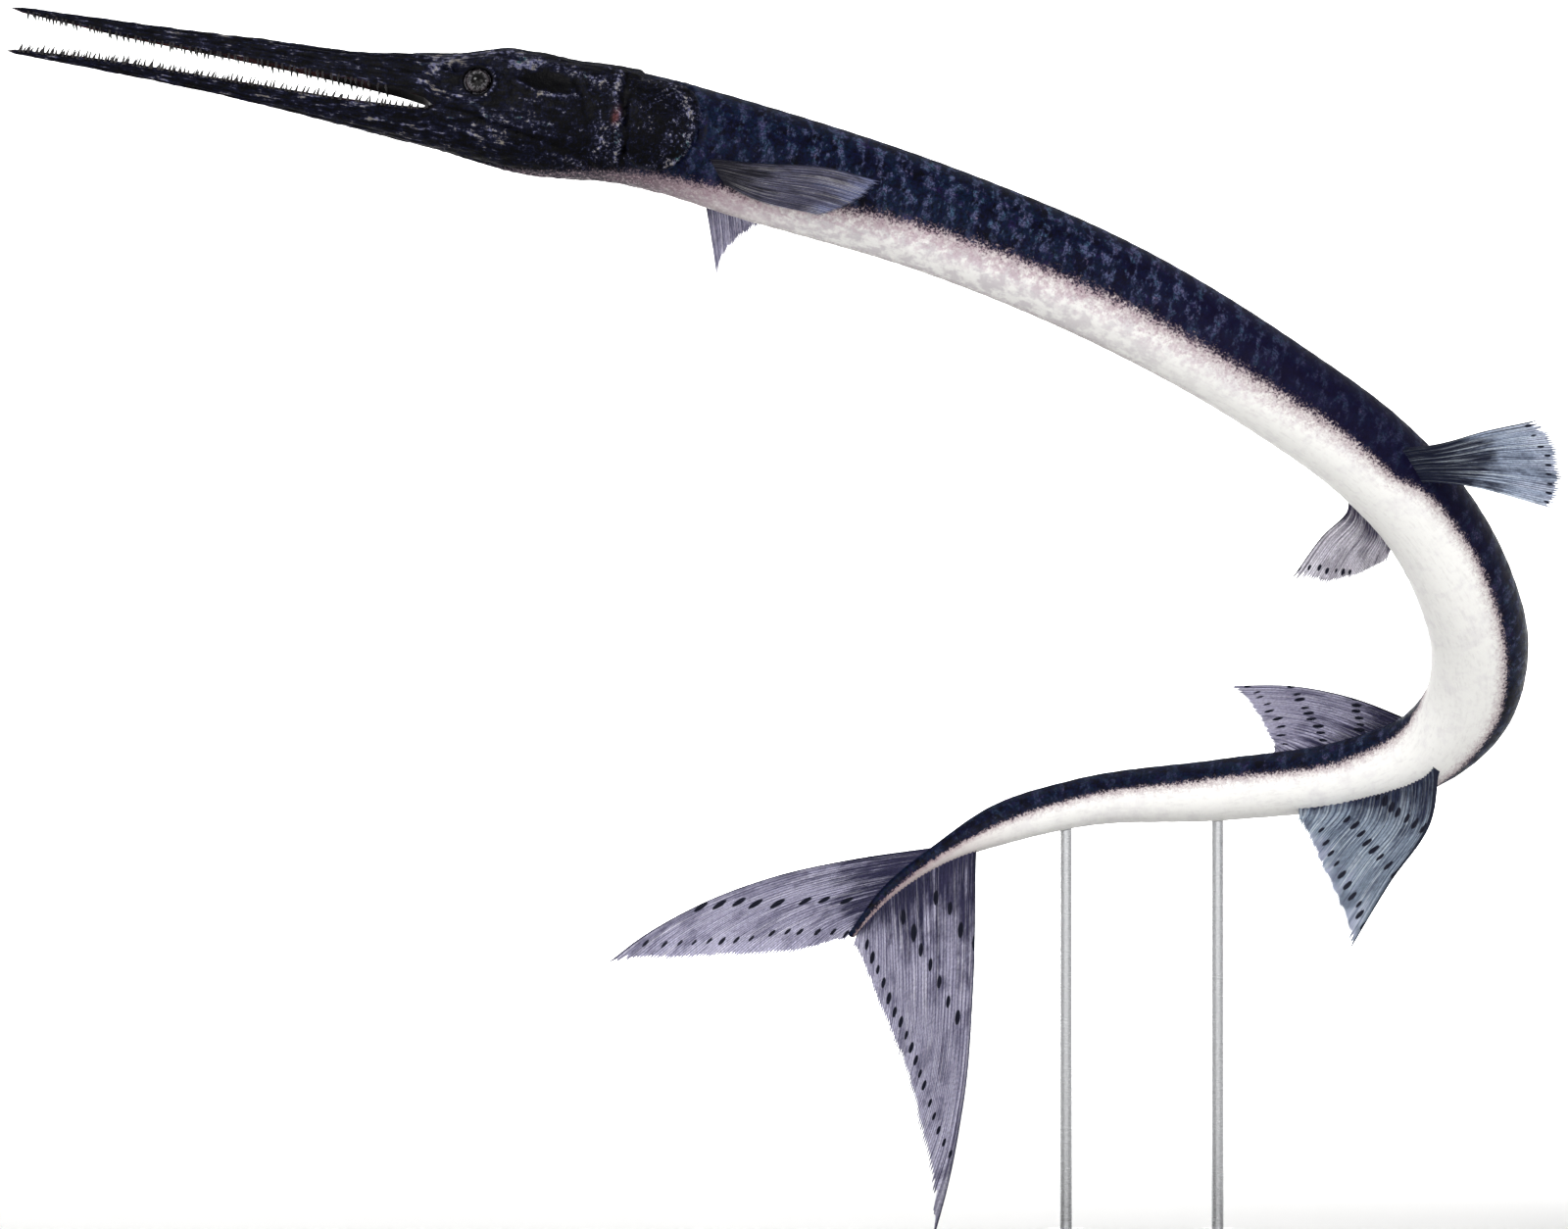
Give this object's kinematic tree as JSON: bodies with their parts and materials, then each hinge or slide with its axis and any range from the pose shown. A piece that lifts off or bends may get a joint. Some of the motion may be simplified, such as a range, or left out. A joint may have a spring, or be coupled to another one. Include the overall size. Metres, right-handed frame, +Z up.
{
  "type": "prehistoric saurichthys fish",
  "caption": "Long-beaked Triassic fish with open toothed jaws, slender bent body, paired, dorsal, anal and forked tail fins, held on a plain display stand.",
  "frame": {"origin": "centre of the display stand's underside, on the surface it rests on", "axes": "+Z up; the head points along -X and its left side faces -Y, and the tail bends round to +Y, away from the pose's front view"},
  "size_m": [0.6201, 0.25, 0.5189],
  "materials": {
    "skin": "moist satin, dark back and pale belly",
    "fin": "satin membrane with dark ray spots",
    "eye": "wet gloss",
    "stand_base": "satin black lacquer",
    "stand_rod": "brushed"
  },
  "bodies": {
    "root": {"head": "skin", "lower_jaw": "skin", "operculum_left": "skin", "operculum_right": "skin", "torso_front": "skin", "torso_rear": "skin", "tail_bend": "skin", "tail_arm": "skin", "tail_stem": "skin", "pectoral_fin_left": "fin", "pectoral_fin_right": "fin", "pelvic_fin_left": "fin", "pelvic_fin_right": "fin", "dorsal_fin": "fin", "anal_fin": "fin", "caudal_fin_upper": "fin", "caudal_fin_lower": "fin", "eye_left": "eye", "eye_right": "eye", "stand_base": "stand_base", "stand_rod_front": "stand_rod", "stand_rod_rear": "stand_rod"}
  },
  "joints": []
}
